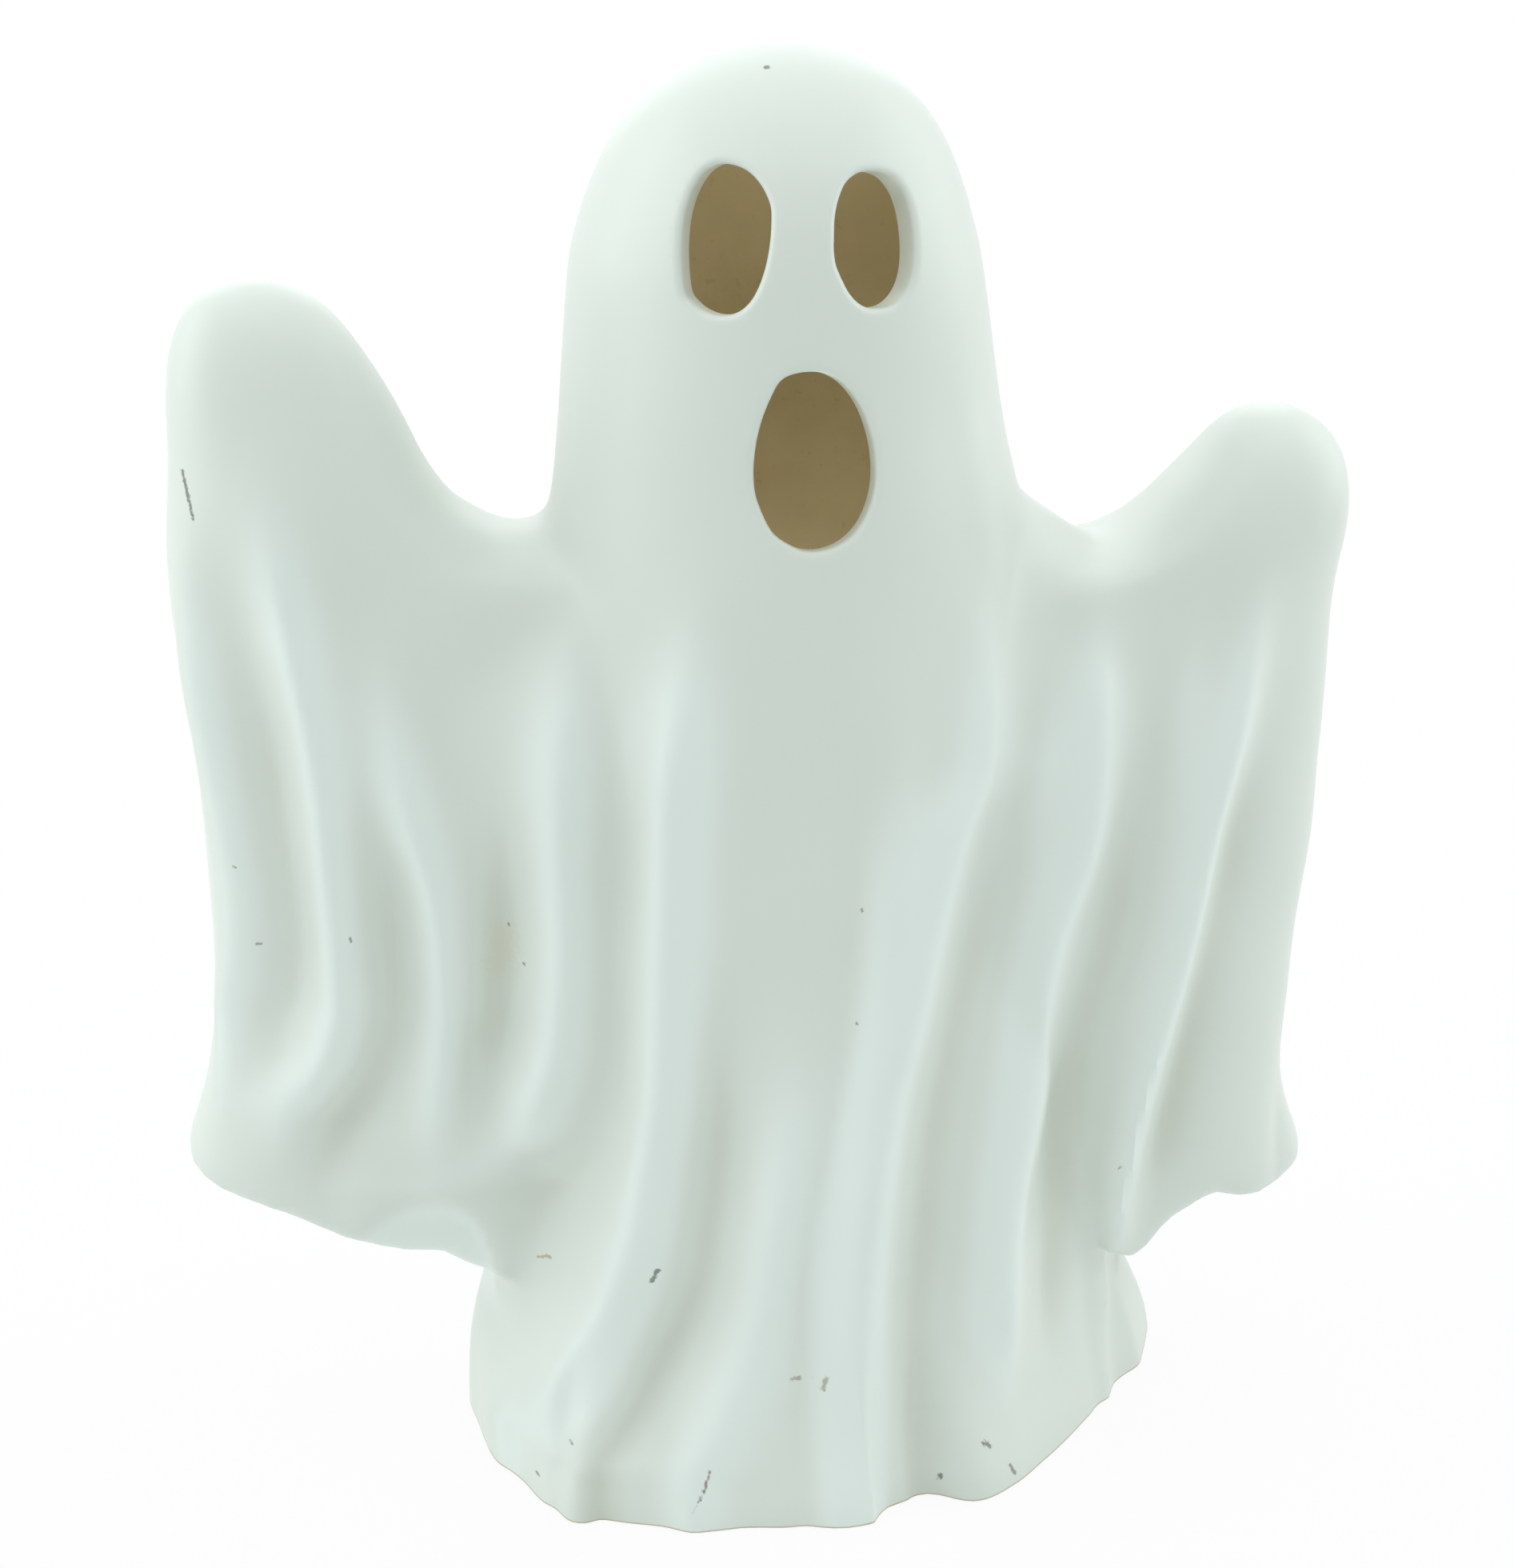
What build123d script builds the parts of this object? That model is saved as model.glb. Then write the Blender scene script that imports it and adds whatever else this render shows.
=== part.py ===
from build123d import *
import os
from math import atan2, cos, degrees, exp, pi, radians, sin, sqrt

# A hollow slip-cast ghost that stands over a flameless tea light. Sizes are in millimetres,
# +Z is up and the face looks along -Y. The origin is on the table, in the middle of the figure.

# Clay
wall = 5.5                      # cast wall of the figure

# Body, from the table up: each cross section's rise over the last, its width, depth and shift to +X
hem_width = 144.0
hem_depth = 111.0
hem_shift = 11.5
skirt_rise = 30.0
skirt_width = 131.0
skirt_depth = 92.0
skirt_shift = 9.5
waist_rise = 70.0
waist_width = 109.0
waist_depth = 80.0
waist_shift = 5.5
chest_rise = 90.0
chest_width = 90.0
chest_depth = 78.0
chest_shift = 4.5
brow_rise = 44.0
brow_width = 79.0
brow_depth = 77.0
brow_shift = 4.0
crown_rise = 47.0

# Foot: its edge wanders out and in round the figure, by the angle from the front towards +X
hem_skew = 0.10                 # the foot is turned: its right side trails to the back
foot_waves = [(-180, 0.0), (-110, 2.5), (-88, 0.5), (-67, 0.0), (-45, 4.5), (-28, 0.5), (-12, 1.0), (0, -2.0),
              (14, -3.0), (26, 2.0), (40, -2.0), (55, -0.5), (68, -2.5), (80, -5.0), (98, 5.0), (114, 3.0),
              (140, 0.5), (180, 0.0)]
wave_height = 46.0              # above this the edge's waves are gone

# Left sleeve: reach is measured from the middle plane, heights from the table
left_tip_height = 239.0
left_tip_reach = 94.0
left_saddle_height = 187.5
left_saddle_reach = 46.0
left_elbow_height = 98.0
left_hem_height = 64.0          # the hem's outer corner
left_hem_reach = 119.5
left_hem_tilt = 19.5
left_elbow_draw = 11.5          # the elbow and the shoulder lie this far inside the hem's corner
left_shoulder_draw = 6.5
left_depth = 40.0
left_crest = 0.57               # share of the arm's width that is its rounded tip, not its slope

# Right sleeve
right_tip_height = 209.0
right_tip_reach = 100.0
right_saddle_height = 183.0
right_saddle_reach = 58.0
right_elbow_height = 78.0
right_hem_height = 52.0
right_hem_reach = 119.0
right_hem_tilt = 18.0
right_elbow_draw = 8.2
right_shoulder_draw = 1.5
right_depth = 38.0
right_crest = 0.47

sleeve_root = 6.0               # a sleeve begins this far from the body's axis, inside the body
sleeve_squareness = 2.7         # a sleeve is flatter than an ellipse
sleeve_swell = 0.62             # a sleeve is deeper at the body than at its edge
hem_tuck = 2.5                  # a sleeve's closed hem is drawn in by this all round

# Folds: depth, breadth, then a ridge line as shares of the reach and of the height
fold_lines = [
    (3.4, 6.5, [(-0.92, 0.74), (-0.91, 0.63), (-0.87, 0.51), (-0.85, 0.44), (-0.86, 0.38), (-0.93, 0.27)]),
    (5.6, 6.8, [(-0.80, 0.78), (-0.75, 0.63), (-0.73, 0.55), (-0.71, 0.46), (-0.71, 0.38), (-0.80, 0.26)]),
    (5.2, 6.8, [(-0.63, 0.66), (-0.59, 0.51), (-0.55, 0.44), (-0.54, 0.37), (-0.55, 0.31), (-0.57, 0.20)]),
    (5.6, 7.5, [(-0.30, 0.68), (-0.33, 0.58), (-0.35, 0.50), (-0.35, 0.41), (-0.36, 0.33), (-0.47, 0.20)]),
    (6.2, 7.5, [(-0.13, 0.63), (-0.17, 0.53), (-0.19, 0.37), (-0.24, 0.20), (-0.30, 0.13), (-0.44, 0.03)]),
    (4.5, 8.5, [(0.02, 0.40), (0.00, 0.30), (-0.03, 0.20), (-0.08, 0.10), (-0.17, 0.03)]),
    (3.0, 6.5, [(0.18, 0.60), (0.17, 0.50), (0.16, 0.42), (0.13, 0.31), (0.10, 0.19), (0.08, 0.03)]),
    (5.2, 7.2, [(0.31, 0.69), (0.33, 0.60), (0.32, 0.53), (0.27, 0.48), (0.20, 0.36), (0.12, 0.03)]),
    (6.0, 7.2, [(0.53, 0.64), (0.50, 0.46), (0.44, 0.39), (0.37, 0.20), (0.36, 0.12), (0.39, 0.03)]),
    (5.5, 6.0, [(0.80, 0.65), (0.73, 0.45), (0.70, 0.37), (0.65, 0.27), (0.61, 0.17), (0.61, 0.05)]),
    (-2.2, 6.0, [(-0.83, 0.68), (-0.79, 0.52), (-0.77, 0.42), (-0.78, 0.37), (-0.81, 0.33)]),
    (-2.4, 6.0, [(-0.67, 0.58), (-0.65, 0.50), (-0.63, 0.44), (-0.62, 0.36), (-0.67, 0.28)]),
    (-3.0, 6.5, [(-0.44, 0.56), (-0.44, 0.50), (-0.45, 0.40), (-0.46, 0.36), (-0.48, 0.31)]),
    (-2.2, 6.0, [(-0.26, 0.61), (-0.28, 0.39), (-0.27, 0.30), (-0.37, 0.20)]),
    (-2.8, 6.5, [(-0.10, 0.43), (-0.10, 0.29), (-0.13, 0.20), (-0.17, 0.13), (-0.31, 0.04)]),
    (-2.4, 6.0, [(0.41, 0.53), (0.36, 0.48), (0.34, 0.42), (0.28, 0.34), (0.23, 0.18), (0.21, 0.03)]),
    (-2.4, 6.5, [(0.64, 0.57), (0.58, 0.39), (0.51, 0.25), (0.49, 0.14), (0.50, 0.04)]),
    (-2.6, 5.8, [(0.82, 0.60), (0.79, 0.50), (0.77, 0.42), (0.72, 0.31), (0.68, 0.20)]),
]
fold_fade = 32.0                # length over which a fold rises from nothing below the shoulder
fold_tail = 18.0                # length over which a fold that ends above the foot runs out
fold_back = 0.8                 # folds on the back against those on the front

# Cut-through face: places are measured from the head's axis and the top of the brow
eye_width = 16.0
eye_height = 26.5
eye_rise = 17.0
left_eye_turn = -22.5
right_eye_turn = 18.5
mouth_width = 22.0
mouth_height = 33.5
mouth_drop = 23.0
mouth_belly = 2.5               # the mouth is widest this far below its middle

# Flameless tea light, standing in the middle of the foot
cup_diameter = 38.0
cup_height = 17.5
cup_taper = 0.6
cup_wall = 1.2
cup_ledge = 0.8                 # step inside the cup that the base plate seats on
foot_recess = 1.2               # the base plate lies this far above the table
plate_thickness = 1.2
deck_height = 14.8
deck_thickness = 1.2
deck_dish = 0.4                 # the deck's dish is this much shallower half way to the rim
fit_gap = 0.1                   # small clearance between parts that slide or drop in
turn_gap = 0.3                  # clearance round the parts that turn
flame_width = 10.0
flame_height = 25.0
flame_wall = 1.6
flame_collar = 1.0              # straight part of the flame above the deck
flange_width = 13.0
flange_thickness = 1.2
lamp_diameter = 3.0
lamp_length = 4.8
lamp_rim = 0.4
lamp_rim_thickness = 1.0
leg = 0.5
leg_pitch = 2.54
cell_diameter = 20.0
cell_thickness = 3.2
cell_step = 1.0
well_shift = 2.8                # the cell lies this far to -X of the cup's axis
well_wall = 1.2
well_roof = 1.0
lug_reach = 1.5
lug_thickness = 1.1
lug_sweep = 22.0
cover_turn = 35.0               # the cover's turn from locked to free
coin_slot_width = 1.8
coin_slot_length = 12.0
coin_slot_depth = 0.8
tower_wall = 1.0
tower_height = 2.9
strip = 0.3
strip_width = 2.0
switch_reach = 13.9             # the switch's place, out from the cup's axis
switch_travel = 3.0
knob_width = 2.4
knob_length = 3.2
knob_recess = 0.5
slide_width = 4.2
slide_length = 4.8
slide_thickness = 1.0

# Cross sections of the body and of a sleeve, points round each, and the turn of its seam
body_steps = 22
sleeve_steps = 20
around = 80
body_seam = 0.30
sleeve_seam = 0.75

os.makedirs("parts", exist_ok=True)


def along(points, place):
    """Value at a place of the smooth line through (place, value) points."""
    points = sorted(points)
    if place <= points[0][0]:
        return points[0][1]
    if place >= points[-1][0]:
        return points[-1][1]
    low = max(i for i in range(len(points) - 1) if points[i][0] <= place)

    def slope(i):
        first, last = points[max(i - 1, 0)], points[min(i + 1, len(points) - 1)]
        return (last[1] - first[1]) / (last[0] - first[0])

    (h0, v0), (h1, v1) = points[low], points[low + 1]
    span = h1 - h0
    t = (place - h0) / span
    rise, fall = slope(low) * span, slope(low + 1) * span
    bend = 3 * (v1 - v0) - 2 * rise - fall
    return v0 + t * (rise + t * (bend + t * (v1 - v0 - rise - bend)))


def eased(share):
    """Smooth step from 0 to 1."""
    share = min(1.0, max(0.0, share))
    return share * share * (3 - 2 * share)


# Heights of the body's sections, and its smooth outlines
skirt_height = skirt_rise
waist_height = skirt_height + waist_rise
chest_height = waist_height + chest_rise
brow_height = chest_height + brow_rise
figure_height = brow_height + crown_rise
heights = [0, skirt_height, waist_height, chest_height, brow_height]
body_widths = list(zip(heights, [hem_width, skirt_width, waist_width, chest_width, brow_width]))
body_depths = list(zip(heights, [hem_depth, skirt_depth, waist_depth, chest_depth, brow_depth]))
body_shifts = list(zip(heights, [hem_shift, skirt_shift, waist_shift, chest_shift, brow_shift]))
body_skews = [(0, hem_skew), (waist_height, 0), (brow_height, 0)]


def fold_path(line):
    """A fold's line as (height, x) points: each side of the figure goes by its own sleeve's reach."""
    return [(share_z * figure_height, share_x * (left_hem_reach if share_x < 0 else right_hem_reach))
            for share_x, share_z in line]


fold_paths = [(depth, breadth, fold_path(line)) for depth, breadth, line in fold_lines]


def fold_relief(x, z):
    """How far the folds lift the surface at a place seen from the front or the back."""
    relief = 0.0
    for depth, breadth, path in fold_paths:
        top, foot = max(path)[0], min(path)[0]
        strength = eased((top - z) / fold_fade)
        if foot > skirt_height:
            strength *= eased((z - foot) / fold_tail + 1)
        off = (x - along(path, z)) / breadth
        relief += depth * strength * exp(-off * off)
    return relief


def ring(plane, points):
    """One closed cross section: a smooth line through points on its own plane."""
    outline = Edge.make_spline(points, periodic=True, parameters=[i / around for i in range(around + 1)])
    with BuildSketch(plane) as section:
        with BuildLine():
            add(outline)
        make_face()
    return section.sketch


def body_ring(height, half_width, half_depth, folded):
    """An oval of the body: the folds lift it, and near the table its edge wanders."""
    shift, skew = along(body_shifts, height), along(body_skews, height)
    wave = eased(1 - height / wave_height)
    points = []
    for i in range(around):
        turn = 2 * pi * i / around + body_seam
        side, front = sin(turn), -cos(turn)
        u, v = half_width * side, half_depth * front
        if folded:
            lift = fold_relief(shift + u, height) * (1 - side ** 6) * (fold_back if front > 0 else 1)
            slope_u, slope_v = side / half_width, front / half_depth
            steep = sqrt(slope_u ** 2 + slope_v ** 2)
            u, v = u + lift * slope_u / steep, v + lift * slope_v / steep
        v += skew * u
        out = 1 + wave * along(foot_waves, degrees(atan2(u, -v))) / sqrt(u ** 2 + v ** 2)
        points.append((u * out, v * out))
    return ring(Plane((shift, 0, height)), points)


def body_sections(inset, folded):
    """Cross sections of the body and head, from the table to the middle of the crown."""
    sections = []
    for i in range(body_steps + 1):
        h = brow_height * i / body_steps
        half_width, half_depth = along(body_widths, h) / 2 - inset, along(body_depths, h) / 2 - inset
        sections.append(body_ring(h, half_width, half_depth, folded))
    for turn in (20, 40, 58, 74):
        shrink = cos(radians(turn))
        h = brow_height + (crown_rise - inset) * sin(radians(turn))
        half_width, half_depth = (brow_width / 2 - inset) * shrink, (brow_depth / 2 - inset) * shrink
        sections.append(body_ring(h, half_width, half_depth, False))
    return sections + [Vertex(brow_shift, 0, figure_height - inset)]


def sleeve_ring(side, inner, outer, height, half_depth, inset, swell, tilt, folded):
    """A flattened oval of a sleeve on a tilted plane, deeper at the body; height is its outer end's."""
    lean = radians(side * tilt)
    half_width = (outer - inner) / 2
    middle_x, middle_z = side * (inner + outer) / 2, height - half_width * abs(sin(lean)) / cos(lean)
    points = []
    for i in range(around):
        turn = 2 * pi * i / around + sleeve_seam
        across, front = sin(turn), -cos(turn)
        power = sleeve_squareness
        bulge = (abs(across) ** power + abs(front) ** power) ** (-1 / power)
        across, front = across * bulge, front * bulge
        depth = half_depth * (1 + swell * (0.5 - side * across)) - inset
        u, v = half_width * across, depth * front
        if folded:
            lift = fold_relief(middle_x + u, middle_z + u * sin(lean) / cos(lean)) * (1 - abs(across) ** 6)
            v += lift * front * (fold_back if front > 0 else 1)
        points.append((u / cos(lean), v))
    plane = Plane((middle_x, 0, middle_z), x_dir=(cos(lean), 0, sin(lean)), z_dir=(-sin(lean), 0, cos(lean)))
    return ring(plane, points)


def sleeve_sections(side, tip, saddle, shoulder_reach, elbow, hem, hem_tilt, depth, crest, inset, folded):
    """Cross sections of one sleeve, from its closed hem to the tip of the raised arm."""
    tip_height, tip_reach = tip[0] - inset, tip[1]
    saddle_height, saddle_reach = saddle
    hem_height = hem[0] + inset
    reaches = [hem, elbow, (saddle_height, shoulder_reach)]
    sections = []
    for i in range(sleeve_steps):
        climb = i / sleeve_steps
        h = hem_height + (saddle_height - inset - hem_height) * climb
        tilt = hem_tilt * eased((waist_height - h) / (waist_height - hem_height))
        start = side * along(body_shifts, h) + sleeve_root
        inner = start + (saddle_reach + inset - start) * climb ** 4
        drawn = inset + hem_tuck if i == 0 else inset
        swell = sleeve_swell * (1 - climb ** 4)
        sections.append(sleeve_ring(side, inner, along(reaches, h) - drawn, h, depth / 2, drawn,
                                    swell, tilt, folded))
    for turn in (0, 20, 38, 55, 72):
        share = sin(radians(turn))
        h = saddle_height - inset + (tip_height - saddle_height + inset) * share
        outer = tip_reach + (shoulder_reach - inset - tip_reach) * sqrt(1 - share ** 4)
        slope = crest * sqrt(1 - share ** 2) + (1 - crest) * (1 - share) ** 5
        inner = tip_reach - (tip_reach - saddle_reach - inset) * slope
        half_depth = (depth / 2 - inset) * sqrt(1 - share ** 2.4)
        sections.append(sleeve_ring(side, inner, outer, h, half_depth, 0, 0, 0, folded))
    return sections + [Vertex(side * tip_reach, 0, tip_height)]


def left_sections(inset, folded):
    return sleeve_sections(-1, (left_tip_height, left_tip_reach), (left_saddle_height, left_saddle_reach),
                           left_hem_reach - left_shoulder_draw,
                           (left_elbow_height, left_hem_reach - left_elbow_draw),
                           (left_hem_height, left_hem_reach), left_hem_tilt, left_depth, left_crest,
                           inset, folded)


def right_sections(inset, folded):
    return sleeve_sections(1, (right_tip_height, right_tip_reach), (right_saddle_height, right_saddle_reach),
                           right_hem_reach - right_shoulder_draw,
                           (right_elbow_height, right_hem_reach - right_elbow_draw),
                           (right_hem_height, right_hem_reach), right_hem_tilt, right_depth, right_crest,
                           inset, folded)


def face_plane(turn, height):
    """Upright plane outside the head, square to a cut that points at the head's axis."""
    out = brow_width
    return Plane((brow_shift + out * sin(radians(turn)), -out * cos(radians(turn)), height),
                 x_dir=(cos(radians(turn)), sin(radians(turn)), 0),
                 z_dir=(sin(radians(turn)), -cos(radians(turn)), 0))


# The casting: folded body and sleeves outside, a smooth hollow inside, open at the foot
with BuildPart() as ghost_shell:
    loft(sections=body_sections(0, True))
    loft(sections=left_sections(0, True))
    loft(sections=right_sections(0, True))
    loft(sections=body_sections(wall, False), mode=Mode.SUBTRACT)
    loft(sections=left_sections(wall, False), mode=Mode.SUBTRACT)
    loft(sections=right_sections(wall, False), mode=Mode.SUBTRACT)
    for eye_turn in (left_eye_turn, right_eye_turn):
        with BuildSketch(face_plane(eye_turn, brow_height + eye_rise)):
            Ellipse(eye_width / 2, eye_height / 2)
        extrude(amount=-brow_width, mode=Mode.SUBTRACT)
    with BuildSketch(face_plane(0, brow_height - mouth_drop)):
        with BuildLine():
            Spline((0, mouth_height / 2), (mouth_width / 2, -mouth_belly), (0, -mouth_height / 2),
                   (-mouth_width / 2, -mouth_belly), periodic=True)
        make_face()
    extrude(amount=-brow_width, mode=Mode.SUBTRACT)
ghost_shell.part.label = "ghost_shell"
export_step(ghost_shell.part, "parts/ghost_shell.step")

# Levels inside the tea light
plate_top = foot_recess + plate_thickness
cover_top = plate_top + fit_gap + lug_thickness
cell_low = cover_top + fit_gap
cell_top = cell_low + cell_thickness
roof_low = cell_top + fit_gap
roof_top = roof_low + well_roof
lamp_low = roof_top + tower_height
deck_low = deck_height - deck_thickness
slide_low = plate_top + fit_gap / 2
strip_low = slide_low + slide_thickness
foot_low = strip_low + strip + fit_gap

# Radii inside the tea light
cup_radius = cup_diameter / 2
cup_bore = cup_radius - cup_wall - cup_ledge
plate_radius = cup_radius - cup_wall - fit_gap
flame_hole = flame_width / 2 + fit_gap
cell_radius = cell_diameter / 2
well_bore = cell_radius + turn_gap
cover_radius = cell_radius + fit_gap
cover_hole = cover_radius + turn_gap
lug_radius = cover_radius + lug_reach
lug_chamber = lug_radius + turn_gap
well_radius = lug_chamber + well_wall
tower_bore = leg_pitch / 2 + 2 * leg
tower_radius = tower_bore + tower_wall
light_x = hem_shift
well_x = light_x - well_shift
switch_x = light_x + switch_reach
light_axis = Axis((light_x, 0, 0), (0, 0, 1))


def light_plane(height, x=light_x):
    return Plane((x, 0, height))


def profile_plane():
    """Upright plane through the tea light's axis: radius across, height up."""
    return Plane((light_x, 0, 0), x_dir=(1, 0, 0), z_dir=(0, -1, 0))


def sector(radius, sweep):
    """Slice of a disc, symmetric about the X axis."""
    half = radians(sweep / 2)
    with BuildSketch() as slice_of_disc:
        with BuildLine():
            CenterArc((0, 0), radius, -sweep / 2, sweep)
            Line((radius * cos(half), radius * sin(half)), (0, 0))
            Line((0, 0), (radius * cos(half), -radius * sin(half)))
        make_face()
    return slice_of_disc.sketch


# Cup: tapered side, a step for the plate, and a dished deck like a pool of wax round the flame
with BuildPart() as candle_cup:
    with BuildSketch(profile_plane()):
        with BuildLine():
            rim = cup_radius - cup_taper
            Polyline((cup_radius - cup_wall, 0), (cup_radius, 0), (rim, cup_height),
                     (rim - cup_wall, cup_height))
            ThreePointArc((rim - cup_wall, cup_height), (0.6 * rim, deck_height + deck_dish),
                          (flame_hole, deck_height))
            Polyline((flame_hole, deck_height), (flame_hole, deck_low), (cup_bore, deck_low),
                     (cup_bore, plate_top), (cup_radius - cup_wall, plate_top), (cup_radius - cup_wall, 0))
        make_face()
    revolve(axis=light_axis)
candle_cup.part.label = "candle_cup"
export_step(candle_cup.part, "parts/candle_cup.step")

# Flame: a hollow teardrop on a flange that is held under the deck
with BuildPart() as flame_lens:
    flame_radius = flame_width / 2
    flame_top = deck_low + flame_height
    bore = flame_radius - flame_wall
    with BuildSketch(profile_plane()):
        with BuildLine():
            Polyline((bore, deck_low - flange_thickness), (flange_width / 2, deck_low - flange_thickness),
                     (flange_width / 2, deck_low), (flame_radius, deck_low),
                     (flame_radius, deck_height + flame_collar))
            Spline((flame_radius, deck_height + flame_collar),
                   (0.93 * flame_radius, deck_low + 0.35 * flame_height),
                   (0.42 * flame_radius, deck_low + 0.72 * flame_height), (0, flame_top),
                   tangents=[(0, 1), (-0.5, 1)])
            Line((0, flame_top), (0, flame_top - 0.55 * flame_height))
            Spline((0, flame_top - 0.55 * flame_height), (0.8 * bore, deck_low + 0.28 * flame_height),
                   (bore, deck_low), tangents=[(1, 0), (0, -1)])
            Line((bore, deck_low), (bore, deck_low - flange_thickness))
        make_face()
    revolve(axis=light_axis)
flame_lens.part.label = "flame_lens"
export_step(flame_lens.part, "parts/flame_lens.step")

# Lamp: domed body on a rim, one leg down to the cell, the other across to the switch
with BuildPart() as led_lamp:
    lamp_radius = lamp_diameter / 2
    lamp_top = lamp_low + lamp_length
    with BuildSketch(profile_plane()):
        with BuildLine():
            Polyline((0, lamp_low), (lamp_radius + lamp_rim, lamp_low),
                     (lamp_radius + lamp_rim, lamp_low + lamp_rim_thickness),
                     (lamp_radius, lamp_low + lamp_rim_thickness), (lamp_radius, lamp_top - lamp_radius))
            RadiusArc((lamp_radius, lamp_top - lamp_radius), (0, lamp_top), -lamp_radius)
            Line((0, lamp_top), (0, lamp_low))
        make_face()
    revolve(axis=light_axis)
    leg_level = roof_top + tower_height / 2
    far_leg = switch_reach + slide_width / 2 - strip_width / 2
    far_side = knob_length / 2 + fit_gap + strip_width / 2
    with BuildSketch(light_plane(cell_top)):
        with Locations((-leg_pitch / 2, 0)):
            Rectangle(leg, leg)
    extrude(amount=lamp_low - cell_top)
    with BuildSketch(light_plane(leg_level)):
        with Locations((leg_pitch / 2, 0)):
            Rectangle(leg, leg)
    extrude(amount=lamp_low - leg_level)
    with BuildSketch(light_plane(leg_level)):
        with Locations(((leg_pitch / 2 + far_leg) / 2, 0)):
            Rectangle(far_leg - leg_pitch / 2 + leg, leg)
        with Locations((far_leg, far_side / 2)):
            Rectangle(leg, far_side + leg)
    extrude(amount=leg)
    with BuildSketch(light_plane(foot_low)):
        with Locations((far_leg, far_side)):
            Rectangle(leg, leg)
    extrude(amount=leg_level - foot_low)
led_lamp.part.label = "led_lamp"
export_step(led_lamp.part, "parts/led_lamp.step")

# Base plate: closes the cup, holds the cell in a well and the lamp on a tower
with BuildPart() as base_plate:
    with BuildSketch(light_plane(foot_recess)):
        Circle(plate_radius)
    extrude(amount=plate_thickness)
    with BuildSketch(light_plane(plate_top, well_x)):
        Circle(well_radius)
    extrude(amount=roof_top - plate_top)
    with BuildSketch(light_plane(roof_top)):
        Circle(tower_radius)
    extrude(amount=tower_height)
    with BuildSketch(light_plane(foot_recess, well_x)):
        Circle(cover_hole)
        with PolarLocations(0, 2, cover_turn):
            add(sector(lug_chamber, lug_sweep + 2 * turn_gap / lug_radius * 180 / pi))
    extrude(amount=plate_thickness, mode=Mode.SUBTRACT)
    with BuildSketch(light_plane(plate_top, well_x)):
        Circle(lug_chamber)
    extrude(amount=cover_top + fit_gap - plate_top, mode=Mode.SUBTRACT)
    with BuildSketch(light_plane(cover_top, well_x)):
        Circle(well_bore)
    extrude(amount=roof_low - cover_top, mode=Mode.SUBTRACT)
    with BuildSketch(light_plane(roof_low)):
        Circle(tower_bore)
    extrude(amount=lamp_low - roof_low, mode=Mode.SUBTRACT)
    # Notch in the tower for the lamp's long leg, and a window in the well for the contact strip
    with BuildSketch(light_plane(roof_top)):
        with Locations((tower_radius, 0)):
            Rectangle(2 * tower_radius, leg + 2 * turn_gap)
    extrude(amount=tower_height, mode=Mode.SUBTRACT)
    with BuildSketch(light_plane(cell_low + turn_gap, well_x)):
        with Locations((well_radius, 0)):
            Rectangle(2 * (well_radius - well_bore + well_wall), strip_width + 2 * turn_gap)
    extrude(amount=cell_thickness - turn_gap, mode=Mode.SUBTRACT)
    # Slot that the switch slides in
    with BuildSketch(light_plane(foot_recess, switch_x)):
        Rectangle(knob_width + 2 * fit_gap, knob_length + switch_travel + 2 * fit_gap)
    extrude(amount=plate_thickness, mode=Mode.SUBTRACT)
base_plate.part.label = "base_plate"
export_step(base_plate.part, "parts/base_plate.step")

# Cell: a can with a stepped smaller face on top
with BuildPart() as coin_cell:
    with BuildSketch(light_plane(cell_low, well_x)):
        Circle(cell_radius)
    extrude(amount=cell_thickness - cell_step / 2)
    fillet(coin_cell.faces().sort_by(Axis.Z)[0].edges(), cell_step / 2)
    with BuildSketch(light_plane(cell_top - cell_step / 2, well_x)):
        Circle(cell_radius - cell_step)
    extrude(amount=cell_step / 2)
coin_cell.part.label = "coin_cell"
export_step(coin_cell.part, "parts/coin_cell.step")

# Contact strip: from the side of the cell, through the well's window, to a foot above the switch
with BuildPart() as cell_contact:
    strip_start = cell_radius - well_shift + fit_gap / 2
    strip_bend = well_radius - well_shift + turn_gap
    strip_end = far_leg - leg
    strip_level = (cell_low + cell_top) / 2
    with BuildSketch(profile_plane()):
        with BuildLine():
            Polyline((strip_start, strip_level), (strip_bend + strip, strip_level),
                     (strip_bend + strip, foot_low + strip),
                     (strip_end, foot_low + strip), (strip_end, foot_low), (strip_bend, foot_low),
                     (strip_bend, strip_level - strip), (strip_start, strip_level - strip), close=True)
        make_face()
    extrude(amount=strip_width / 2, both=True)
cell_contact.part.label = "cell_contact"
export_step(cell_contact.part, "parts/cell_contact.step")

# Cover: a disc with two lugs that lock above the plate, and a slot for a coin
with BuildPart() as battery_cover:
    with BuildSketch(light_plane(foot_recess, well_x)):
        Circle(cover_radius)
    extrude(amount=cover_top - foot_recess)
    with BuildSketch(light_plane(plate_top + fit_gap, well_x)):
        with PolarLocations(0, 2):
            add(sector(lug_radius, lug_sweep))
    extrude(amount=lug_thickness)
    with BuildSketch(light_plane(foot_recess, well_x)):
        SlotOverall(coin_slot_length, coin_slot_width)
    extrude(amount=coin_slot_depth, mode=Mode.SUBTRACT)
battery_cover.part.label = "battery_cover"
export_step(battery_cover.part, "parts/battery_cover.step")

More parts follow.
